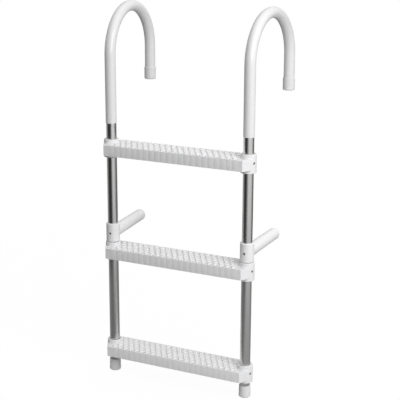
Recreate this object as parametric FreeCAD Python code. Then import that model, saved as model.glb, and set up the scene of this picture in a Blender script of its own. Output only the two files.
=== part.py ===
"""Boarding ladder that hangs on a boat's gunwale by two bent tubes.

Frame: X runs across the ladder, +Y points inboard, over the gunwale, and +Z is up.
The origin lies midway between the hooks, on top of the gunwale under their crowns.
"""
import FreeCAD
import Part
import math
import os

# Overall sizes, in millimetres, and angles in degrees
overall_height = 949.0
rail_spacing = 370.0
hook_reach = 223.0
hook_depth = 213.0
hook_splay = 2.6

# Rail tube, bent from one length
tube_diameter = 25.4
tube_wall = 1.65

# Vinyl sleeve over the hook
sleeve_wall = 0.7
sleeve_gap = 0.05
bare_tube_above_top_step = 39.6

# Cap on the free end of the hook
cap_length = 31.0
cap_wall = 1.5
cap_floor = 4.0
cap_gap = 0.05
cap_edge_radius = 3.0

# Foot under each rail
foot_height = 30.5
foot_bottom_diameter = 29.6
foot_top_diameter = 28.2
foot_floor = 5.0
foot_gap = 0.05
foot_edge_radius = 3.5
foot_ring_height = 16.0
foot_ring_width = 1.6
foot_ring_depth = 0.5

# Moulded steps
bare_tube_above_foot = 10.8
step_pitch = 265.8
step_depth = 76.2
step_thickness = 26.5
step_facet_angle = 28.4
step_wall = 2.6
step_top_wall = 3.2
step_corner_radius = 1.4
step_top_edge_radius = 0.8
step_rib_thickness = 2.2
step_cell_count = 6
step_rib_inset = 2.0

# Collar at each end of a step
collar_diameter = 38.0
collar_lip_diameter = 36.8
collar_rise = 10.2
collar_skirt = 8.8
collar_skirt_edge_radius = 1.0
collar_bore_gap = 0.15
collar_edge_radius = 1.6
collar_mouth_diameter = 31.0
collar_mouth_depth = 3.0
collar_screw_drop = 10.9
collar_screw_angle = 21.5

# Stand-offs that keep the ladder clear of the hull
standoff_collar_diameter = 34.0
standoff_collar_height = 47.2
standoff_edge_radius = 1.6
standoff_screw_height = 22.3
standoff_gap = 1.0
arm_length = 162.5
arm_root_diameter = 31.2
arm_tip_diameter = 29.4
arm_tip_radius = 9.0
arm_axis_height = 22.7
arm_tilt = 1.7

# Set screws
screw_diameter = 6.0
screw_hole_gap = 0.1
screw_inset = 2.0
screw_seat_gap = 0.1
socket_width = 3.0
socket_depth = 1.6

# Sizes that follow from those above
tube_radius = tube_diameter / 2
sleeve_radius = tube_radius + sleeve_gap + sleeve_wall
bend_radius = hook_reach / 2
rail_y = -bend_radius
crown_height = overall_height - 2 * sleeve_radius
sole_z = -crown_height
bend_z = sleeve_radius - bend_radius
cap_bottom_z = 2 * sleeve_radius - hook_depth
first_step_height = foot_height + bare_tube_above_foot + collar_skirt + step_thickness
step_heights = {
    "bottom": first_step_height,
    "middle": first_step_height + step_pitch,
    "top": first_step_height + 2 * step_pitch,
}
sleeve_start_height = step_heights["top"] + collar_rise + bare_tube_above_top_step
collar_bore_radius = tube_radius + collar_bore_gap
collar_radius = collar_diameter / 2
sides = {"left": -1, "right": 1}
up = FreeCAD.Vector(0, 0, 1)


def level(height):
    """Z of a height measured up from the soles of the feet."""
    return sole_z + height


def rail_x(side):
    """X of the axis of one rail."""
    return sides[side] * rail_spacing / 2


def placed(shape, side, z=0.0):
    """Put a shape made about the origin at one rail, turned outwards with its hook."""
    turned = shape.copy()
    turned.rotate(FreeCAD.Vector(0, 0, 0), up, -sides[side] * hook_splay)
    turned.translate(FreeCAD.Vector(rail_x(side), rail_y, z))
    return turned


def revolved(edges):
    """Solid turned about Z from a closed half profile in the XZ plane."""
    face = Part.Face(Part.Wire(edges))
    return face.revolve(FreeCAD.Vector(0, 0, 0), up, 360)


def profile(points):
    """Edges of a half profile: each point is a radius, a height and a corner radius."""
    count = len(points)
    corners = [FreeCAD.Vector(point[0], 0, point[1]) for point in points]
    starts = []
    ends = []
    edges = []
    for index, corner in enumerate(corners):
        radius = points[index][2]
        before = (corners[index - 1] - corner).normalize()
        after = (corners[(index + 1) % count] - corner).normalize()
        if radius == 0:
            starts.append(corner)
            ends.append(corner)
            continue
        half_angle = before.getAngle(after) / 2
        setback = radius / math.tan(half_angle)
        start = corner + before * setback
        end = corner + after * setback
        bisector = (before + after).normalize()
        middle = corner + bisector * (radius / math.sin(half_angle) - radius)
        starts.append(start)
        ends.append(end)
        edges.append(Part.Arc(start, middle, end).toShape())
    for index in range(count):
        following = (index + 1) % count
        edges.append(Part.makeLine(ends[index], starts[following]))
    return Part.__sortEdges__(edges)


def bent_pipe(outer_radius, inner_radius, bottom_z, free_end_z):
    """Hollow hook: straight stem, half circle towards +Y, and a short free leg."""
    def ring(y, z):
        centre = FreeCAD.Vector(0, y, z)
        outer = Part.Wire(Part.makeCircle(outer_radius, centre, up))
        inner = Part.Wire(Part.makeCircle(inner_radius, centre, up))
        inner.reverse()
        return Part.Face([outer, inner])

    stem = ring(0, bottom_z).extrude(up * (bend_z - bottom_z))
    axis_point = FreeCAD.Vector(0, bend_radius, bend_z)
    bend = ring(0, bend_z).revolve(axis_point, FreeCAD.Vector(-1, 0, 0), 180)
    leg = ring(hook_reach, free_end_z).extrude(up * (bend_z - free_end_z))
    return stem.fuse([bend, leg]).removeSplitter()


def rail():
    """Aluminium tube from the foot's floor to the floor of the hook's cap."""
    bottom_z = level(foot_floor)
    free_end_z = cap_bottom_z + cap_floor
    return bent_pipe(tube_radius, tube_radius - tube_wall, bottom_z, free_end_z)


def hook_sleeve():
    """Vinyl sleeve that covers the hook from above the top step to the cap's floor."""
    free_end_z = cap_bottom_z + cap_floor
    return bent_pipe(sleeve_radius, tube_radius + sleeve_gap, level(sleeve_start_height), free_end_z)


def hook_cap():
    """Cup pushed over the sleeve on the free end of the hook."""
    inner = sleeve_radius + cap_gap
    outer = inner + cap_wall
    cup = revolved(profile([
        (0, 0, 0),
        (outer, 0, cap_edge_radius),
        (outer, cap_length, cap_wall / 3),
        (inner, cap_length, 0),
        (inner, cap_floor, 0),
        (0, cap_floor, 0),
    ]))
    cup.translate(FreeCAD.Vector(0, hook_reach, cap_bottom_z))
    return cup


def foot():
    """Cup under the rail, a little wider at the sole, with one shallow ring groove."""
    inner = tube_radius + foot_gap
    bottom = foot_bottom_diameter / 2
    top = foot_top_diameter / 2
    cup = revolved(profile([
        (0, 0, 0),
        (bottom, 0, foot_edge_radius),
        (top, foot_height, (top - inner) / 3),
        (inner, foot_height, 0),
        (inner, foot_floor, 0),
        (0, foot_floor, 0),
    ]))
    ring_radius = bottom + (top - bottom) * foot_ring_height / foot_height
    ring_centre = FreeCAD.Vector(0, 0, foot_ring_height)
    ring_outer = Part.makeCylinder(2 * bottom, foot_ring_width, ring_centre)
    ring_inner = Part.makeCylinder(ring_radius - foot_ring_depth, foot_ring_width, ring_centre)
    return cup.cut(ring_outer.cut(ring_inner))


def step_corner_x(inset):
    """X of the corner between a step's long side and its end facet."""
    angle = math.radians(step_facet_angle)
    reach = collar_radius - inset - math.sin(angle) * (step_depth / 2 - inset)
    return rail_spacing / 2 + reach / math.cos(angle)


def step_outline(inset, z):
    """Plan of a step: two long sides, with end facets that meet the collar's round nose."""
    angle = math.radians(step_facet_angle)
    corner_x = step_corner_x(inset)
    half_depth = step_depth / 2 - inset
    radius = collar_radius - inset
    centre_x = rail_spacing / 2
    edges = []
    for sign in (-1, 1):
        front = FreeCAD.Vector(sign * corner_x, -half_depth, z)
        back = FreeCAD.Vector(sign * corner_x, half_depth, z)
        nose_x = sign * (centre_x + radius * math.cos(angle))
        nose_front = FreeCAD.Vector(nose_x, -radius * math.sin(angle), z)
        nose_back = FreeCAD.Vector(nose_x, radius * math.sin(angle), z)
        nose = FreeCAD.Vector(sign * (centre_x + radius), 0, z)
        edges.append(Part.makeLine(front, nose_front))
        edges.append(Part.Arc(nose_front, nose, nose_back).toShape())
        edges.append(Part.makeLine(nose_back, back))
    for y in (-half_depth, half_depth):
        start = FreeCAD.Vector(-corner_x, y, z)
        end = FreeCAD.Vector(corner_x, y, z)
        edges.append(Part.makeLine(start, end))
    return Part.Face(Part.Wire(Part.__sortEdges__(edges)))


def edges_where(shape, test):
    """Edges of a shape whose centre of mass passes a test."""
    return [edge for edge in shape.Edges if test(edge.CenterOfMass, edge)]


def step_body():
    """Outer block of a step with its corners and top edge rounded."""
    block = step_outline(0, -step_thickness).extrude(up * step_thickness)
    corner_x = step_corner_x(0)

    def upright_corner(centre, edge):
        is_upright = edge.BoundBox.ZLength > step_thickness / 2
        return is_upright and abs(abs(centre.x) - corner_x) < 0.01

    block = block.makeFillet(step_corner_radius, edges_where(block, upright_corner))
    top_edges = edges_where(block, lambda centre, edge: centre.z > -0.01)
    return block.makeFillet(step_top_edge_radius, top_edges)


def step_hollow():
    """Room under a step's skin, less the cross ribs that stiffen it."""
    height = step_thickness - step_top_wall
    hollow = step_outline(step_wall, -step_thickness).extrude(up * height)
    ribbed_length = rail_spacing - collar_diameter
    cell_length = ribbed_length / step_cell_count
    ribs = []
    for index in range(step_cell_count + 1):
        x = -ribbed_length / 2 + index * cell_length - step_rib_thickness / 2
        rib = Part.makeBox(step_rib_thickness, step_depth, height)
        rib.translate(FreeCAD.Vector(x, -step_depth / 2, -step_thickness + step_rib_inset))
        ribs.append(rib)
    return hollow.cut(ribs)


def step_collar():
    """Collar round the rail, tapered above the step and straight below it."""
    lip_radius = collar_lip_diameter / 2
    bottom = -step_thickness - collar_skirt
    return revolved(profile([
        (0, bottom, 0),
        (collar_radius, bottom, collar_skirt_edge_radius),
        (collar_radius, 0, 0),
        (lip_radius, collar_rise, collar_edge_radius),
        (0, collar_rise, 0),
    ]))


def collar_mouth():
    """Tool for the wide tapered mouth at the top of a step's collar."""
    top = collar_rise
    bottom = collar_rise - collar_mouth_depth
    return revolved(profile([
        (0, bottom, 0),
        (collar_bore_radius, bottom, 0),
        (collar_mouth_diameter / 2, top, 0),
        (0, top, 0),
    ]))


def screw_direction(side):
    """Direction in which a step's set screw points out of its collar."""
    angle = math.radians(collar_screw_angle)
    return FreeCAD.Vector(sides[side] * math.cos(angle), -math.sin(angle), 0)


def step(height):
    """One moulded step with both collars, its bores and its screw holes."""
    body = step_body().cut(step_hollow())
    collars = []
    tools = []
    bore_length = 2 * (step_thickness + collar_skirt + collar_rise)
    for side in sides:
        centre = FreeCAD.Vector(rail_x(side), 0, 0)
        collar = step_collar()
        collar.translate(centre)
        collars.append(collar)
        tools.append(Part.makeCylinder(collar_bore_radius, bore_length, centre - up * bore_length / 2))
        mouth = collar_mouth()
        mouth.translate(centre)
        tools.append(mouth)
        hole_start = centre - up * collar_screw_drop
        hole_radius = screw_diameter / 2 + screw_hole_gap
        tools.append(Part.makeCylinder(hole_radius, collar_diameter, hole_start, screw_direction(side)))
    moulding = body.fuse(collars).cut(tools).removeSplitter()
    moulding.translate(FreeCAD.Vector(0, rail_y, level(height)))
    return moulding


def standoff():
    """Collar with a long round arm that rests against the hull."""
    collar = revolved(profile([
        (0, 0, 0),
        (standoff_collar_diameter / 2, 0, standoff_edge_radius),
        (standoff_collar_diameter / 2, standoff_collar_height, standoff_edge_radius),
        (0, standoff_collar_height, 0),
    ]))
    arm = revolved(profile([
        (0, 0, 0),
        (arm_root_diameter / 2, 0, 0),
        (arm_tip_diameter / 2, arm_length, arm_tip_radius),
        (0, arm_length, 0),
    ]))
    origin = FreeCAD.Vector(0, 0, 0)
    arm.rotate(origin, FreeCAD.Vector(1, 0, 0), -90 + arm_tilt)
    arm.translate(up * arm_axis_height)
    bore = Part.makeCylinder(collar_bore_radius, 2 * standoff_collar_height, -up * standoff_collar_height / 2)
    hole_radius = screw_diameter / 2 + screw_hole_gap
    hole_start = up * standoff_screw_height
    hole = Part.makeCylinder(hole_radius, standoff_collar_diameter, hole_start, FreeCAD.Vector(0, -1, 0))
    return collar.fuse(arm).cut([bore, hole]).removeSplitter()


def set_screw(outer_radius):
    """Socket set screw along Z, from the rail's surface to just inside its collar's surface."""
    inner = tube_radius + screw_seat_gap
    length = outer_radius - screw_inset - inner
    body = Part.makeCylinder(screw_diameter / 2, length, up * inner)
    corners = []
    corner_radius = socket_width / 2 / math.cos(math.radians(30))
    for index in range(7):
        angle = math.radians(60 * index)
        corners.append(FreeCAD.Vector(
            corner_radius * math.cos(angle),
            corner_radius * math.sin(angle),
            inner + length - socket_depth,
        ))
    socket = Part.Face(Part.makePolygon(corners)).extrude(up * 2 * socket_depth)
    return body.cut(socket)


def pointed(shape, direction):
    """Turn a shape made along Z so that it points in a level direction."""
    turned = shape.copy()
    origin = FreeCAD.Vector(0, 0, 0)
    turned.rotate(origin, FreeCAD.Vector(0, 1, 0), 90)
    turned.rotate(origin, up, math.degrees(math.atan2(direction.y, direction.x)))
    return turned


def step_screw(side, height):
    """Set screw in one collar of a step."""
    screw = pointed(set_screw(collar_radius), screw_direction(side))
    screw.translate(FreeCAD.Vector(rail_x(side), rail_y, level(height) - collar_screw_drop))
    return screw


def build():
    """All pieces of the ladder by name."""
    pieces = {}
    for name, height in step_heights.items():
        pieces[name + "_step"] = step(height)
    standoff_bottom = step_heights["middle"] + collar_rise + standoff_gap
    for side in sides:
        pieces[side + "_rail"] = placed(rail(), side)
        pieces[side + "_hook_sleeve"] = placed(hook_sleeve(), side)
        pieces[side + "_hook_cap"] = placed(hook_cap(), side)
        pieces[side + "_foot"] = placed(foot(), side, sole_z)
        pieces[side + "_standoff"] = placed(standoff(), side, level(standoff_bottom))
        for name, height in step_heights.items():
            pieces[side + "_" + name + "_step_screw"] = step_screw(side, height)
        screw = pointed(set_screw(standoff_collar_diameter / 2), FreeCAD.Vector(0, -1, 0))
        screw_z = level(standoff_bottom + standoff_screw_height)
        pieces[side + "_standoff_screw"] = placed(screw, side, screw_z)
    return pieces


os.makedirs("parts", exist_ok=True)
for piece_name, piece in build().items():
    if not piece.isValid() or len(piece.Solids) != 1:
        raise RuntimeError(piece_name + " is not one valid solid")
    piece.Solids[0].exportStep("parts/" + piece_name + ".step")
    print(piece_name, round(piece.Volume / 1000, 2), "cm3")
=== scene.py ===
"""Finishes, grip pattern and studio for a hook-on boarding ladder.

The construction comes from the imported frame: bent tube rails, sleeves, caps, feet,
moulded steps, stand-offs and set screws. This file gives each of them its finish,
adds the raised grip and the face bands of the steps, and sets the floor, lamps and
camera. All sizes are in metres.
"""
import math

import bmesh
import bpy
from bpy.props import FloatProperty, FloatVectorProperty, PointerProperty
from mathutils import Matrix, Vector


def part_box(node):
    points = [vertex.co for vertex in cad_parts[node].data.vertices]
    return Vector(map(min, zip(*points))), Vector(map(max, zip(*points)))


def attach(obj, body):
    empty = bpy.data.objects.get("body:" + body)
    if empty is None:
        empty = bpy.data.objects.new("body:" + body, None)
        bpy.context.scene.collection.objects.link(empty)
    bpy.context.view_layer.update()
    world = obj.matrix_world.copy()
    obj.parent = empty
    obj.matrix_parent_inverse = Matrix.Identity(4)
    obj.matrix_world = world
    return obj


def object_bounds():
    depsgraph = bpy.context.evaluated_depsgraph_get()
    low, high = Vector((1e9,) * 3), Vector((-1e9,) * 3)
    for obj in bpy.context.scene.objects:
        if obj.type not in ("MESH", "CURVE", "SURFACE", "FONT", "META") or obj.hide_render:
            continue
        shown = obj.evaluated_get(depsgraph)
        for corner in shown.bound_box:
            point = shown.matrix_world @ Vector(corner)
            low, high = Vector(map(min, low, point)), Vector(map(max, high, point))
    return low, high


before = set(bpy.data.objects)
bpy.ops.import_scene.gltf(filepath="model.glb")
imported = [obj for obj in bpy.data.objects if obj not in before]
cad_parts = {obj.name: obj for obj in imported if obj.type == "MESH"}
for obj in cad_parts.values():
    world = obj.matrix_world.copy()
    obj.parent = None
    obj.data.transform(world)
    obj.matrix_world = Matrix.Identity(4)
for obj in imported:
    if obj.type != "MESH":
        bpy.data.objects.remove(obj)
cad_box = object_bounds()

bl_info = {
    "name": "Boarding Ladder",
    "version": (1, 0, 0),
    "blender": (4, 5, 0),
    "location": "View3D > Sidebar > Ladder",
    "description": "Finishes, step grips and studio of a hook-on boarding ladder",
    "category": "Object",
}

STEPS = ("bottom_step", "middle_step", "top_step")
SIDES = ("left", "right")
WHITE = (1.0, 1.0, 1.0, 1.0)
BLACK = (0.0, 0.0, 0.0, 1.0)

# Edges that turn by more than this many degrees stay sharp.
SHARP_ANGLE = 35.0
# Depth behind a step's front in which its front face is looked for.
FRONT_EDGE = 0.003
# Shortest edge that may be left when a cell of the grip or the bands is drawn in.
EDGE_REST = 0.0005
# How far from the middle grooves are cut, as a share of a rail's distance from it.
GROOVE_REACH = 1.5
# Attribute of the grip that tells how deep a place lies in its grooves, by which the step plastic
# paints shade into them.
GROOVE = "groove"
# Segments of the rounding on a pad's upper edge.
RIM_SEGMENTS = 3
# Distances within which a cut and a merge take places as the same.
CUT_TOLERANCE = 0.000001
MERGE_TOLERANCE = 0.00001
# Sides of the round floor and of the surround.
CIRCLE_SIDES = 96
# Range in which nearly all values of a noise texture lie.
NOISE_LOW = 0.25
NOISE_HIGH = 0.75
# Scales of the coordinates for draw lines along a tube and for rub marks round it.
DRAW_SCALE = (1.0, 1.0, 0.012)
RUB_SCALE = (0.25, 0.25, 2.0)
# Keeps a place's distances across the floor and drops its height.
ACROSS = (1.0, 1.0, 0.0)
# Sockets of a mix node: its share, its two levels, its two colours and the mixed colour.
SHARE = 0
FIRST_LEVEL, SECOND_LEVEL = 2, 3
FIRST_COLOUR, SECOND_COLOUR = 6, 7
MIXED_COLOUR = 2


def colour_property(name, description, default):
    """A colour that a user can change."""
    return FloatVectorProperty(
        name=name, description=description, default=default,
        subtype="COLOR", min=0.0, max=1.0, size=3,
    )


def length_property(name, description, default):
    """A length in metres that a user can change."""
    return FloatProperty(
        name=name, description=description, default=default, unit="LENGTH", precision=5
    )


def angle_property(name, description, degrees):
    """An angle that a user can change."""
    return FloatProperty(
        name=name, description=description, default=math.radians(degrees), subtype="ANGLE"
    )


def share_property(name, description, default):
    """A share from none to all that a user can change."""
    return FloatProperty(
        name=name, description=description, default=default, subtype="FACTOR", min=0.0, max=1.0
    )


def optics_property(name, description, default):
    """A camera's length in millimetres that a user can change."""
    return FloatProperty(name=name, description=description, default=default, unit="CAMERA")


def power_property(name, description, default):
    """A lamp's power in watts that a user can change."""
    return FloatProperty(name=name, description=description, default=default, subtype="POWER")


def glow_property(name, description, default):
    """A strength of background light that a user can change."""
    return FloatProperty(name=name, description=description, default=default, min=0.0)


class LADDER_PG_grip(bpy.types.PropertyGroup):
    """Raised grip on top of each step, and the bands on its long faces"""

    pitch: length_property("Pitch", "Distance between grooves along the step", 0.01577)
    lean: angle_property("Lean", "Angle between a groove and the step's depth", 30.0)
    offset: length_property("Offset", "Groove crossing nearest the middle of the step", -0.0036)
    groove_floor: length_property("Groove floor", "Width of a groove's flat floor", 0.0036)
    groove_wall: length_property("Groove wall", "Width of a groove's sloped wall", 0.0009)
    pad_height: length_property("Pad height", "Rise of a pad above the step", 0.0022)
    pad_softness: length_property("Pad softness", "Rounding of a pad's upper edge", 0.0004)
    edge_inset: length_property(
        "Edge inset", "Distance of the grip from the step's long edges", 0.0005
    )
    end_gap: length_property("End gap", "Distance of the grip's ends from the rails' axes", 0.010)
    rail_gap: length_property("Rail gap", "Distance that pads keep from a rail's axis", 0.0175)
    base_rise: length_property("Base rise", "Height of the grooves' floor above the step", 0.00004)
    base_depth: length_property("Base depth", "Depth of the grip's base in the step", 0.0006)
    band_shift: length_property(
        "Band shift", "Sideways shift of the bands against the pads", -0.0026
    )
    band_gap: length_property(
        "Band gap", "Width of the groove between two bands on a step's face", 0.0012
    )
    band_wall: length_property("Band wall", "Width of a band's steep side", 0.0012)
    band_height: length_property("Band height", "Rise of a band's steep side", 0.00035)
    crown_width: length_property(
        "Crown width", "Width of the slope on each side of a band's crown", 0.0032
    )
    crown_height: length_property("Crown height", "Rise of a band's crown", 0.00025)
    band_inset: length_property(
        "Band inset", "Distance of the bands from the face's long edges", 0.0004
    )


class LADDER_PG_finish(bpy.types.PropertyGroup):
    """Colours and sheens of the ladder's materials"""

    tube: colour_property("Tube", "Anodised aluminium tube", (0.76, 0.755, 0.75))
    sleeve: colour_property("Sleeve", "Vinyl sleeve on the hooks", (0.78, 0.78, 0.78))
    rubber: colour_property("Rubber", "Caps and feet", (0.77, 0.77, 0.77))
    step: colour_property("Step", "Moulded steps", (0.80, 0.80, 0.81))
    arm: colour_property("Arm", "Stand-off arms", (0.83, 0.83, 0.83))
    screw: colour_property("Screw", "Blackened set screws", (0.02, 0.02, 0.021))
    # Painted shade: the grip's grooves are drawn darker than its pads, standing in for the shade
    # that falls in them.
    painted_groove_shade: share_property(
        "Painted groove shade", "How much darker the grip's grooves are than its pads", 0.10
    )
    tube_roughness: share_property("Tube roughness", "Dullness of the tube", 0.22)
    sleeve_roughness: share_property("Sleeve roughness", "Dullness of the sleeve", 0.24)
    rubber_roughness: share_property("Rubber roughness", "Dullness of the caps and feet", 0.5)
    step_roughness: share_property("Step roughness", "Dullness of the steps", 0.46)
    arm_roughness: share_property("Arm roughness", "Dullness of the stand-offs", 0.42)
    screw_roughness: share_property("Screw roughness", "Dullness of the screws", 0.32)


class LADDER_PG_studio(bpy.types.PropertyGroup):
    """Camera, floor and lamps"""

    azimuth: angle_property("Azimuth", "Camera's turn to the ladder's right", 25.672)
    elevation: angle_property("Elevation", "Camera's height above the horizon", 15.399)
    roll: angle_property("Roll", "Camera's turn about its own axis", 0.282)
    distance: length_property("Distance", "Camera's distance from its target", 2.578312)
    target: FloatVectorProperty(
        name="Target",
        description="Point that the camera looks at",
        default=(0.059401, -0.1115, -0.43203),
        subtype="TRANSLATION",
        unit="LENGTH",
        size=3,
    )
    lens: optics_property("Lens", "Focal length in millimetres", 96.02)
    sensor: optics_property("Sensor", "Width of the sensor in millimetres", 36.0)
    floor: colour_property("Floor", "Pale floor", (0.47, 0.47, 0.47))
    floor_size: length_property("Floor size", "Radius of the floor", 9.0)
    floor_white: share_property(
        "Floor white", "Share of plain white in the floor near the ladder", 0.96
    )
    floor_in_metal: share_property(
        "Floor in metal", "Brightness of the near floor in the metal", 0.34
    )
    far_in_metal: share_property(
        "Far floor in metal", "Brightness of the far floor in the metal", 0.70
    )
    metal_near: length_property("Metal near", "Radius of the near floor in the metal", 0.40)
    metal_far: length_property("Metal far", "Radius of the far floor in the metal", 2.20)
    floor_shade: share_property(
        "Floor shade", "Share that the surround's dark sides take from that level", 0.5
    )
    bounce_shade: share_property(
        "Bounce shade", "How dark the floor's dark sides scatter light", 1.0
    )
    bounce_near: length_property(
        "Bounce near", "Radius within which the floor scatters light evenly", 0.30
    )
    bounce_far: length_property(
        "Bounce far", "Radius beyond which its dark sides count in full", 0.80
    )
    fade_start: length_property(
        "Fade start", "Where the floor starts to fade into the background", 0.7
    )
    fade_end: length_property("Fade end", "Where the floor has become the background", 2.2)
    dome_dark: glow_property("Dome dark", "Light from the dark side", 0.04)
    dome_rim: FloatProperty(
        name="Dome rim", description="Cosine from the bright side to the dark rim", default=-0.35
    )
    dome_bright: glow_property("Dome bright", "Light from the bright side", 0.93)
    dome_turn: angle_property("Dome turn", "Bright side's turn from the ladder's right", -5.0)
    dome_tilt: angle_property("Dome tilt", "Bright side's height above the horizon", 66.0)
    lamp_size: length_property("Lamp size", "Width of each soft lamp", 1.6)
    lamp_distance: length_property("Lamp distance", "Distance of each soft lamp", 2.3)
    key_power: power_property("Key power", "Power of the lamp in front", 30.0)
    key_turn: angle_property(
        "Key turn", "Turn of the lamp in front, from the ladder's right", -36.0
    )
    key_tilt: angle_property("Key tilt", "Height above the horizon of the lamp in front", 28.0)
    fill_power: power_property("Fill power", "Power of the lamp behind", 8.0)
    fill_turn: angle_property("Fill turn", "Turn of the lamp behind, from the ladder's right", 98.0)
    fill_tilt: angle_property("Fill tilt", "Height above the horizon of the lamp behind", 30.0)
    surround_radius: length_property("Surround radius", "Distance of the surround", 1.05)
    surround_height: length_property("Surround height", "Height of the surround", 2.4)
    surround: colour_property("Surround", "Dark sides of the surround", (0.045, 0.044, 0.043))
    left_dark_from: angle_property("Left dark from", "Where the left dark side starts", -53.0)
    left_dark_full: angle_property("Left dark full", "Where the left side is fully dark", -98.0)
    right_dark_from: angle_property("Right dark from", "Where the right dark side starts", -5.0)
    right_dark_full: angle_property("Right dark full", "Where the right side is fully dark", 35.0)
    right_dark_share: share_property("Right dark share", "Darkness of the right side", 0.70)
    left_back: angle_property("Left back", "Width of the left side's fade behind the ladder", 50.0)
    right_back: angle_property(
        "Right back", "Width of the right side's fade behind the ladder", 95.0
    )
    back_share: share_property("Back share", "Darkness straight behind the ladder's left", 0.28)


def settings():
    """The ladder's settings in the open scene."""
    return bpy.context.scene.ladder


class LADDER_PG_settings(bpy.types.PropertyGroup):
    """All settings of the ladder"""

    grip: PointerProperty(
        type=LADDER_PG_grip, name="Grip", description="Raised grip and bands of the steps"
    )
    finish: PointerProperty(type=LADDER_PG_finish, name="Finish", description="Colours and sheens")
    studio: PointerProperty(
        type=LADDER_PG_studio, name="Studio", description="Camera, floor and lamps"
    )


class Nodes:
    """Short way to add and join the nodes of one material or world."""

    def __init__(self, owner):
        owner.use_nodes = True
        self.tree = owner.node_tree
        self.tree.nodes.clear()

    def add(self, kind, inputs=None, **attributes):
        """Add a node, set its attributes, and set or link its inputs by name or number."""
        node = self.tree.nodes.new(kind)
        for name, value in attributes.items():
            setattr(node, name, value)
        for key, value in (inputs or {}).items():
            if isinstance(value, bpy.types.NodeSocket):
                self.tree.links.new(value, node.inputs[key])
            else:
                node.inputs[key].default_value = value
        return node

    def math(self, operation, first, second):
        """Output of a math node."""
        return self.add("ShaderNodeMath", {0: first, 1: second}, operation=operation).outputs[0]

    def mix(self, share, first, second):
        """A colour between two, by the share of the second."""
        inputs = {SHARE: share, FIRST_COLOUR: first, SECOND_COLOUR: second}
        return self.add("ShaderNodeMix", inputs, data_type="RGBA").outputs[MIXED_COLOUR]

    def ramp(self, value, start, end, low, high):
        """Soft change of a level from low to high while a value goes from start to end."""
        inputs = {"Value": value, "From Min": start, "From Max": end, "To Min": low, "To Max": high}
        node = self.add("ShaderNodeMapRange", inputs, interpolation_type="SMOOTHSTEP")
        return node.outputs[0]

    def place(self, scale=(1.0, 1.0, 1.0)):
        """Object coordinates, stretched by a scale."""
        coordinates = self.add("ShaderNodeTexCoord").outputs["Object"]
        return self.add("ShaderNodeMapping", {"Vector": coordinates, "Scale": scale}).outputs[0]

    def noise(self, place, scale, detail, roughness=0.5):
        """Value of a noise texture."""
        inputs = {"Vector": place, "Scale": scale, "Detail": detail, "Roughness": roughness}
        return self.add("ShaderNodeTexNoise", inputs).outputs["Fac"]

    def spread(self, noise, level, below, above):
        """Level that a noise lets vary from a bit below it to a bit above it."""
        inputs = {
            "Value": noise, "From Min": NOISE_LOW, "From Max": NOISE_HIGH,
            "To Min": level - below, "To Max": level + above,
        }
        return self.add("ShaderNodeMapRange", inputs).outputs[0]

    def tint(self, colour, noise, depth):
        """A colour that grows darker by a share where a noise is high."""
        shade = tuple(channel * (1.0 - depth) for channel in colour)
        return self.mix(noise, (*colour, 1.0), (*shade, 1.0))

    def bump(self, height, distance, under=None):
        """Normal of a bumped surface, on top of another if one is given."""
        inputs = {"Height": height, "Distance": distance}
        if under is not None:
            inputs["Normal"] = under
        return self.add("ShaderNodeBump", inputs).outputs[0]

    def seen_and_mirrored(self):
        """Whether a ray comes from the camera, and whether it was mirrored or let through."""
        rays = self.add("ShaderNodeLightPath").outputs
        mirrored = self.math("MAXIMUM", rays["Is Glossy Ray"], rays["Is Transmission Ray"])
        return rays["Is Camera Ray"], mirrored

    def finish(self, inputs):
        """Principled surface with these inputs."""
        shader = self.add("ShaderNodeBsdfPrincipled", inputs)
        self.add("ShaderNodeOutputMaterial", {"Surface": shader.outputs[0]})


def new_material(name):
    """A material and the nodes that it is made of."""
    material = bpy.data.materials.new(name)
    return material, Nodes(material)


def anodised_aluminium():
    """Satin tube with faint draw lines along its length and a few fine rub marks."""
    look = settings().finish
    material, nodes = new_material("anodised_aluminium")
    along = nodes.place(DRAW_SCALE)
    lines = nodes.noise(along, scale=1500.0, detail=4.0, roughness=0.6)
    bands = nodes.noise(along, scale=220.0, detail=2.0)
    cloud = nodes.noise(nodes.place(), scale=22.0, detail=4.0)
    rubs = nodes.noise(nodes.place(RUB_SCALE), scale=900.0, detail=3.0, roughness=0.7)
    drawn_sheen = nodes.spread(bands, look.tube_roughness, below=0.02, above=0.05)
    rub_dullness = 0.03
    drawn = nodes.bump(lines, distance=0.000012)
    nodes.finish({
        "Base Color": nodes.tint(look.tube, cloud, depth=0.06),
        "Metallic": 1.0,
        "Roughness": nodes.math("ADD", drawn_sheen, nodes.math("MULTIPLY", rubs, rub_dullness)),
        "Normal": nodes.bump(rubs, distance=0.000004, under=drawn),
    })
    return material


def white_vinyl():
    """Smooth glossy sleeve with faint ripples where it was pushed over the bend."""
    look = settings().finish
    material, nodes = new_material("white_vinyl")
    ripples = nodes.noise(nodes.place(), scale=160.0, detail=2.0)
    waves = nodes.noise(nodes.place(), scale=45.0, detail=2.0)
    wavy = nodes.bump(waves, distance=0.00025)
    nodes.finish({
        "Base Color": nodes.tint(look.sleeve, waves, depth=0.03),
        "Roughness": nodes.spread(ripples, look.sleeve_roughness, below=0.04, above=0.06),
        "Normal": nodes.bump(ripples, distance=0.00003, under=wavy),
    })
    return material


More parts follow.
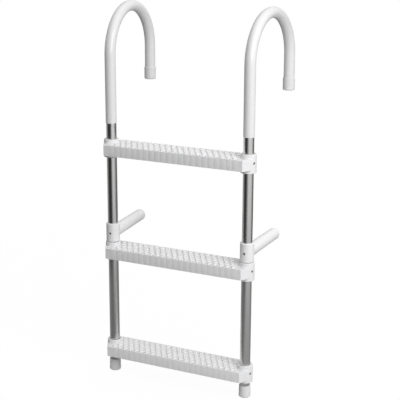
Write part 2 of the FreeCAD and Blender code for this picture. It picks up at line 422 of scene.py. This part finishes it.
def moulded(name, colour, roughness, grain_size, grain_depth, cloud_depth, painted_groove_shade=0.0):
    """Moulded white material with the fine grain of its mould, and painted shade in its grooves if
    it has any.
    """
    material, nodes = new_material(name)
    grain = nodes.noise(nodes.place(), scale=1.0 / grain_size, detail=3.0, roughness=0.6)
    cloud = nodes.noise(nodes.place(), scale=28.0, detail=3.0)
    tinted = nodes.tint(colour, cloud, cloud_depth)
    # Painted shade: darken the colour towards black by how deep a place lies in the grooves.
    if painted_groove_shade:
        groove = nodes.add("ShaderNodeAttribute", attribute_name=GROOVE).outputs["Fac"]
        tinted = nodes.mix(nodes.math("MULTIPLY", groove, painted_groove_shade), tinted, BLACK)
    nodes.finish({
        "Base Color": tinted,
        "Roughness": nodes.spread(grain, roughness, below=0.05, above=0.07),
        "Normal": nodes.bump(grain, grain_depth),
    })
    return material


def white_rubber():
    """Caps and feet of white rubber with a pebbled skin."""
    look = settings().finish
    return moulded(
        "white_rubber", look.rubber, look.rubber_roughness,
        grain_size=0.0011, grain_depth=0.00009, cloud_depth=0.05,
    )


def white_step_plastic():
    """Steps moulded in white plastic, with painted shade in the grip's grooves."""
    look = settings().finish
    return moulded(
        "white_step_plastic", look.step, look.step_roughness,
        grain_size=0.0007, grain_depth=0.00004, cloud_depth=0.03, painted_groove_shade=look.painted_groove_shade,
    )


def white_arm_plastic():
    """Stand-offs moulded in white plastic."""
    look = settings().finish
    return moulded(
        "white_arm_plastic", look.arm, look.arm_roughness,
        grain_size=0.0006, grain_depth=0.00003, cloud_depth=0.03,
    )


def blackened_steel():
    """Set screws of blackened turned steel."""
    look = settings().finish
    material, nodes = new_material("blackened_steel")
    turned = nodes.noise(nodes.place(), scale=2600.0, detail=2.0)
    nodes.finish({
        "Base Color": nodes.tint(look.screw, turned, depth=0.15),
        "Metallic": 1.0,
        "Roughness": nodes.spread(turned, look.screw_roughness, below=0.05, above=0.1),
        "Normal": nodes.bump(turned, distance=0.00001),
    })
    return material


def dress(names, material):
    """Give CAD nodes one material."""
    for name in names:
        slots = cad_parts[name].data.materials
        slots.clear()
        slots.append(material)


def face_span(name):
    """Lowest and highest point of a step's front face."""
    low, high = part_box(name)
    front = low.y + FRONT_EDGE
    heights = [v.co.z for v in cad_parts[name].data.vertices if v.co.y < front]
    return min(heights), max(heights)


def rail_place():
    """Distance of a rail's axis from the middle of the ladder."""
    low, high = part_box("right_foot")
    return (low.x + high.x) / 2


def flat_sheet(mesh, half_width):
    """Flat face that reaches from end to end of the grip."""
    half_length = rail_place() - settings().grip.end_gap
    bmesh.ops.create_grid(mesh, x_segments=1, y_segments=1, size=1.0)
    bmesh.ops.scale(mesh, verts=mesh.verts, vec=(half_length, half_width, 1.0))


def cut_grooves(mesh, crossing, leans):
    """Cut a flat face along one family of grooves for each lean."""
    grip = settings().grip
    count = math.ceil(GROOVE_REACH * rail_place() / grip.pitch)
    for lean in leans:
        normal = Vector((math.cos(lean), math.sin(lean), 0.0))
        for index in range(-count, count + 1):
            place = Vector((crossing + index * grip.pitch, 0.0, 0.0))
            bmesh.ops.bisect_plane(
                mesh, geom=mesh.verts[:] + mesh.edges[:] + mesh.faces[:],
                dist=CUT_TOLERANCE, plane_co=place, plane_no=normal,
            )


def clear_rails(mesh):
    """Take out the cells that would reach into a rail."""
    rail_x = rail_place()
    rail_gap = settings().grip.rail_gap

    def reaches_rail(corner):
        return math.hypot(abs(corner.co.x) - rail_x, corner.co.y) < rail_gap

    cells = [face for face in mesh.faces if any(reaches_rail(corner) for corner in face.verts)]
    bmesh.ops.delete(mesh, geom=cells, context="FACES")


def holds_margin(face, margin):
    """Whether every edge of a face is long enough to move inwards by a margin."""

    def pull(corner):
        half = corner.calc_angle() / 2
        return (1.0 if corner.is_convex else -1.0) / math.tan(half)

    def lost(corner):
        return margin * (pull(corner) + pull(corner.link_loop_next))

    return all(corner.edge.calc_length() > lost(corner) + EDGE_REST for corner in face.loops)


def raise_cells(mesh, gap, slopes):
    """Raise each cell that has room, by slopes of a width and a height, from the gap inwards."""
    margin = gap / 2 + sum(width for width, height in slopes)
    cells = [face for face in mesh.faces if holds_margin(face, margin)]
    for width, height in ((gap / 2, 0.0), *slopes):
        bmesh.ops.inset_individual(
            mesh, faces=cells, thickness=width, depth=height, use_even_offset=True
        )
    return cells


def soften_rims(mesh, cells, softness):
    """Round the upper edges of raised cells."""
    rims = list({edge for cell in cells for edge in cell.edges})
    bmesh.ops.bevel(
        mesh, geom=rims, offset=softness, offset_type="OFFSET", segments=RIM_SEGMENTS,
        profile=0.5, affect="EDGES", clamp_overlap=True, material=-1,
    )


def close_base(mesh, depth):
    """Give a raised sheet a thin closed base that is sunk in the step."""
    rim = [edge for edge in mesh.edges if edge.is_boundary]
    wall = bmesh.ops.extrude_edge_only(mesh, edges=rim)["geom"]
    lower = [item for item in wall if isinstance(item, bmesh.types.BMVert)]
    bmesh.ops.translate(mesh, verts=lower, vec=(0.0, 0.0, -depth))
    bmesh.ops.holes_fill(mesh, edges=[edge for edge in mesh.edges if edge.is_boundary], sides=0)
    bmesh.ops.recalc_face_normals(mesh, faces=mesh.faces[:])


def mark_grooves(mesh, height):
    """Note on each corner of the grip how deep it lies in the grooves, for the shade painted into
    them.
    """
    depth = mesh.verts.layers.float.new(GROOVE)
    for corner in mesh.verts:
        corner[depth] = 1.0 - min(max(corner.co.z / height, 0.0), 1.0)


def add_piece(mesh, name, material):
    """Add a piece of the ladder from a finished mesh."""
    for face in mesh.faces:
        face.smooth = True
    data = bpy.data.meshes.new(name)
    mesh.to_mesh(data)
    mesh.free()
    data.set_sharp_from_angle(angle=math.radians(SHARP_ANGLE))
    data.materials.append(material)
    piece = bpy.data.objects.new(name, data)
    bpy.context.scene.collection.objects.link(piece)
    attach(piece, "root")


class LADDER_OT_rails(bpy.types.Operator):
    """Give both rails their satin aluminium"""

    bl_idname = "ladder.rails"
    bl_label = "Rails"

    def execute(self, context):
        dress([side + "_rail" for side in SIDES], anodised_aluminium())
        return {"FINISHED"}


class LADDER_OT_sleeves(bpy.types.Operator):
    """Give the sleeves on both hooks their vinyl"""

    bl_idname = "ladder.sleeves"
    bl_label = "Hook sleeves"

    def execute(self, context):
        dress([side + "_hook_sleeve" for side in SIDES], white_vinyl())
        return {"FINISHED"}


class LADDER_OT_caps_and_feet(bpy.types.Operator):
    """Give the hooks' caps and the rails' feet their rubber"""

    bl_idname = "ladder.caps_and_feet"
    bl_label = "Caps and feet"

    def execute(self, context):
        ends = [side + end for side in SIDES for end in ("_hook_cap", "_foot")]
        dress(ends, white_rubber())
        return {"FINISHED"}


def add_grip(name, plastic):
    """Raised pads on top of a step."""
    grip = settings().grip
    low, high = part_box(name)
    mesh = bmesh.new()
    flat_sheet(mesh, (high.y - low.y) / 2 - grip.edge_inset)
    cut_grooves(mesh, grip.offset, (-grip.lean, grip.lean))
    clear_rails(mesh)
    pads = raise_cells(mesh, grip.groove_floor, ((grip.groove_wall, grip.pad_height),))
    soften_rims(mesh, pads, grip.pad_softness)
    mark_grooves(mesh, grip.pad_height)
    close_base(mesh, grip.base_depth + grip.base_rise)
    place = (0.0, (low.y + high.y) / 2, face_span(name)[1] + grip.base_rise)
    bmesh.ops.translate(mesh, verts=mesh.verts, vec=place)
    add_piece(mesh, name + "_grip", plastic)


def add_bands(name, plastic):
    """Shallow upright bands that carry the pads on down a step's long faces."""
    grip = settings().grip
    low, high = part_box(name)
    lower, upper = face_span(name)
    mesh = bmesh.new()
    flat_sheet(mesh, (upper - lower) / 2 - grip.band_inset)
    cut_grooves(mesh, grip.offset + grip.pitch / 2 + grip.band_shift, (0.0,))
    slopes = ((grip.band_wall, grip.band_height), (grip.crown_width, grip.crown_height))
    raise_cells(mesh, grip.band_gap, slopes)
    close_base(mesh, grip.base_depth + grip.base_rise)
    upright = Matrix.Rotation(math.pi / 2, 4, "X")
    place = Vector((0.0, low.y - grip.base_rise, (lower + upper) / 2))
    bmesh.ops.transform(mesh, matrix=Matrix.Translation(place) @ upright, verts=mesh.verts)
    middle = Matrix.Translation((0.0, -(low.y + high.y) / 2, 0.0))
    whole = mesh.verts[:] + mesh.edges[:] + mesh.faces[:]
    bmesh.ops.mirror(mesh, geom=whole, matrix=middle, merge_dist=MERGE_TOLERANCE, axis="Y")
    bmesh.ops.recalc_face_normals(mesh, faces=mesh.faces[:])
    add_piece(mesh, name + "_bands", plastic)


class LADDER_OT_steps(bpy.types.Operator):
    """Give the three steps their plastic, the raised grip on top and the bands on their faces"""

    bl_idname = "ladder.steps"
    bl_label = "Steps"

    def execute(self, context):
        plastic = white_step_plastic()
        dress(STEPS, plastic)
        for name in STEPS:
            add_grip(name, plastic)
            add_bands(name, plastic)
        return {"FINISHED"}


class LADDER_OT_standoffs(bpy.types.Operator):
    """Give both stand-offs their plastic"""

    bl_idname = "ladder.standoffs"
    bl_label = "Stand-offs"

    def execute(self, context):
        dress([side + "_standoff" for side in SIDES], white_arm_plastic())
        return {"FINISHED"}


class LADDER_OT_set_screws(bpy.types.Operator):
    """Give the set screws their blackened steel"""

    bl_idname = "ladder.set_screws"
    bl_label = "Set screws"

    def execute(self, context):
        dress([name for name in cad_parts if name.endswith("_screw")], blackened_steel())
        return {"FINISHED"}


def dark_side(nodes, place):
    """How dark the surround is at a place, by its turn about the ladder."""
    studio = settings().studio
    parts = nodes.add("ShaderNodeSeparateXYZ", {0: place}).outputs
    turn = nodes.math("ARCTAN2", parts["Y"], parts["X"])
    back = math.pi
    back_share = studio.back_share
    left = nodes.ramp(turn, studio.left_dark_from, studio.left_dark_full, 0.0, 1.0)
    left_back = nodes.ramp(turn, -back, -back + studio.left_back, back_share, 1.0)
    right = nodes.ramp(
        turn, studio.right_dark_from, studio.right_dark_full, 0.0, studio.right_dark_share
    )
    right_back = nodes.ramp(turn, back - studio.right_back, back, 1.0, back_share)
    left_side = nodes.math("MULTIPLY", left, left_back)
    return nodes.math("MAXIMUM", left_side, nodes.math("MULTIPLY", right, right_back))


def floor_material():
    """Pale floor that fades into the white background and keeps the ladder's shadow."""
    studio = settings().studio
    material, nodes = new_material("studio_floor")
    place = nodes.add("ShaderNodeTexCoord").outputs["Object"]
    flat = nodes.add("ShaderNodeVectorMath", {0: place, 1: ACROSS}, operation="MULTIPLY").outputs[0]
    radius = nodes.add("ShaderNodeVectorMath", {0: flat}, operation="LENGTH").outputs["Value"]
    near = nodes.ramp(radius, studio.fade_start, studio.fade_end, studio.floor_white, 1.0)
    away = nodes.ramp(radius, studio.bounce_near, studio.bounce_far, 0.0, studio.bounce_shade)
    in_metal = nodes.ramp(
        radius, studio.metal_near, studio.metal_far, studio.floor_in_metal, studio.far_in_metal
    )
    seen, mirrored = nodes.seen_and_mirrored()
    shade = dark_side(nodes, place)
    # Painted shade: away from the ladder, the floor scatters less light on the surround's dark
    # sides; the camera still sees it white.
    bounce = nodes.mix(nodes.math("MULTIPLY", shade, away), (*studio.floor, 1.0), BLACK)
    lit = nodes.add("ShaderNodeBsdfDiffuse", {"Color": nodes.mix(seen, bounce, WHITE)}).outputs[0]
    # Painted reflection: in reflections the floor glows at a set level, with painted shade on the
    # surround's dark sides, in place of its own lit look.
    bright = nodes.math("SUBTRACT", 1.0, nodes.math("MULTIPLY", shade, studio.floor_shade))
    level = nodes.math("MULTIPLY", bright, in_metal)
    levels = {SHARE: mirrored, FIRST_LEVEL: 1.0, SECOND_LEVEL: level}
    strength = nodes.add("ShaderNodeMix", levels).outputs[0]
    white = nodes.add("ShaderNodeEmission", {"Color": WHITE, "Strength": strength}).outputs[0]
    share = nodes.math("MAXIMUM", nodes.math("MULTIPLY", seen, near), mirrored)
    surface = nodes.add("ShaderNodeMixShader", {0: share, 1: lit, 2: white}).outputs[0]
    nodes.add("ShaderNodeOutputMaterial", {"Surface": surface})
    return material


def add_stage_mesh(mesh, name, material):
    """Add a mesh that belongs to the studio and not to the ladder."""
    data = bpy.data.meshes.new(name)
    mesh.to_mesh(data)
    mesh.free()
    data.materials.append(material)
    thing = bpy.data.objects.new(name, data)
    bpy.context.scene.collection.objects.link(thing)
    return thing


def add_floor(level):
    """Round floor under the ladder's feet."""
    studio = settings().studio
    mesh = bmesh.new()
    bmesh.ops.create_circle(
        mesh, cap_ends=True, segments=CIRCLE_SIDES, radius=studio.floor_size
    )
    bmesh.ops.translate(mesh, verts=mesh.verts, vec=(0.0, 0.0, level))
    add_stage_mesh(mesh, "floor", floor_material())


def surround_material():
    """Dark matt sides with soft edges, clear in between."""
    studio = settings().studio
    material, nodes = new_material("studio_surround")
    place = nodes.add("ShaderNodeTexCoord").outputs["Object"]
    shade = dark_side(nodes, place)
    dark = nodes.add("ShaderNodeBsdfDiffuse", {"Color": (*studio.surround, 1.0)}).outputs[0]
    clear = nodes.add("ShaderNodeBsdfTransparent").outputs[0]
    surface = nodes.add("ShaderNodeMixShader", {0: shade, 1: clear, 2: dark}).outputs[0]
    nodes.add("ShaderNodeOutputMaterial", {"Surface": surface})
    return material


def add_surround(level):
    """Round wall that stands on the floor and shows only in reflections."""
    studio = settings().studio
    mesh = bmesh.new()
    bmesh.ops.create_circle(
        mesh, cap_ends=False, segments=CIRCLE_SIDES, radius=studio.surround_radius
    )
    bmesh.ops.translate(mesh, verts=mesh.verts, vec=(0.0, 0.0, level))
    top = bmesh.ops.extrude_edge_only(mesh, edges=mesh.edges[:])["geom"]
    raised = [item for item in top if isinstance(item, bmesh.types.BMVert)]
    bmesh.ops.translate(mesh, verts=raised, vec=(0.0, 0.0, studio.surround_height))
    wall = add_stage_mesh(mesh, "surround", surround_material())
    wall.visible_camera = False
    wall.visible_diffuse = False
    wall.visible_transmission = False
    wall.visible_shadow = False


def direction(turn, tilt):
    """Unit vector at a turn from the ladder's right and a height above the horizon."""
    level = math.cos(tilt)
    return Vector((math.cos(turn) * level, math.sin(turn) * level, math.sin(tilt)))


def add_lamp(name, power, turn, tilt, middle):
    """Large soft lamp that faces the middle of the ladder and that the camera doesn't see."""
    studio = settings().studio
    lamp = bpy.data.lights.new(name, "AREA")
    lamp.shape = "SQUARE"
    lamp.size = studio.lamp_size
    lamp.energy = power
    towards = direction(turn, tilt)
    thing = bpy.data.objects.new(name, lamp)
    thing.location = middle + towards * studio.lamp_distance
    thing.rotation_euler = towards.to_track_quat("Z", "Y").to_euler()
    thing.visible_camera = False
    bpy.context.scene.collection.objects.link(thing)


def add_world():
    """White background, and a dome of light that is brighter on one side."""
    studio = settings().studio
    world = bpy.data.worlds.new("studio")
    bpy.context.scene.world = world
    nodes = Nodes(world)
    ray = nodes.add("ShaderNodeTexCoord").outputs["Generated"]
    bright_side = direction(studio.dome_turn, studio.dome_tilt)
    facing = nodes.add("ShaderNodeVectorMath", {0: ray, 1: bright_side}, operation="DOT_PRODUCT")
    cosine = facing.outputs["Value"]
    strength = nodes.ramp(cosine, studio.dome_rim, 1.0, studio.dome_dark, studio.dome_bright)
    dome = nodes.add("ShaderNodeBackground", {"Color": WHITE, "Strength": strength}).outputs[0]
    white = nodes.add("ShaderNodeBackground", {"Color": WHITE, "Strength": 1.0}).outputs[0]
    seen, mirrored = nodes.seen_and_mirrored()
    shows = nodes.math("MAXIMUM", seen, mirrored)
    surface = nodes.add("ShaderNodeMixShader", {0: shows, 1: dome, 2: white}).outputs[0]
    nodes.add("ShaderNodeOutputWorld", {"Surface": surface})


def add_camera():
    """Camera at the photograph's place."""
    studio = settings().studio
    lens = bpy.data.cameras.new("camera")
    lens.lens = studio.lens
    lens.sensor_width = studio.sensor
    back = direction(studio.azimuth - math.pi / 2, studio.elevation)
    right = Vector((0.0, 0.0, 1.0)).cross(back).normalized()
    up = back.cross(right)
    turned_right = right * math.cos(studio.roll) + up * math.sin(studio.roll)
    turned_up = up * math.cos(studio.roll) - right * math.sin(studio.roll)
    camera = bpy.data.objects.new("camera", lens)
    axes = Matrix((turned_right, turned_up, back)).transposed()
    place = Vector(studio.target) + back * studio.distance
    camera.matrix_world = Matrix.Translation(place) @ axes.to_4x4()
    bpy.context.scene.collection.objects.link(camera)
    bpy.context.scene.camera = camera


class LADDER_OT_studio(bpy.types.Operator):
    """Set the floor, lamps, background and camera"""

    bl_idname = "ladder.studio"
    bl_label = "Studio"

    def execute(self, context):
        low, high = cad_box
        add_floor(low.z)
        add_surround(low.z)
        studio = settings().studio
        middle = (low + high) / 2
        add_lamp("key", studio.key_power, studio.key_turn, studio.key_tilt, middle)
        add_lamp("fill", studio.fill_power, studio.fill_turn, studio.fill_tilt, middle)
        add_world()
        add_camera()
        context.scene.view_settings.view_transform = "Standard"
        return {"FINISHED"}


OPERATORS = (
    LADDER_OT_rails,
    LADDER_OT_sleeves,
    LADDER_OT_caps_and_feet,
    LADDER_OT_steps,
    LADDER_OT_standoffs,
    LADDER_OT_set_screws,
    LADDER_OT_studio,
)


class LADDER_PT_panel(bpy.types.Panel):
    """Pieces and settings of the ladder"""

    bl_idname = "LADDER_PT_panel"
    bl_label = "Boarding Ladder"
    bl_space_type = "VIEW_3D"
    bl_region_type = "UI"
    bl_category = "Ladder"

    def draw(self, context):
        for operator in OPERATORS:
            self.layout.operator(operator.bl_idname, text=operator.bl_label)
        ladder = context.scene.ladder
        for group in (ladder.grip, ladder.finish, ladder.studio):
            box = self.layout.box()
            for name in group.__annotations__:
                box.prop(group, name)


CLASSES = (
    LADDER_PG_grip,
    LADDER_PG_finish,
    LADDER_PG_studio,
    LADDER_PG_settings,
    *OPERATORS,
    LADDER_PT_panel,
)


def register():
    """Register the settings, operators and panel."""
    for part in CLASSES:
        bpy.utils.register_class(part)
    bpy.types.Scene.ladder = PointerProperty(type=LADDER_PG_settings)


def unregister():
    """Remove the settings, operators and panel."""
    del bpy.types.Scene.ladder
    for part in reversed(CLASSES):
        bpy.utils.unregister_class(part)


def main():
    """Dress the ladder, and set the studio."""
    register()
    bpy.ops.ladder.rails()
    bpy.ops.ladder.sleeves()
    bpy.ops.ladder.caps_and_feet()
    bpy.ops.ladder.steps()
    bpy.ops.ladder.standoffs()
    bpy.ops.ladder.set_screws()
    bpy.ops.ladder.studio()


if __name__ == "__main__":
    main()
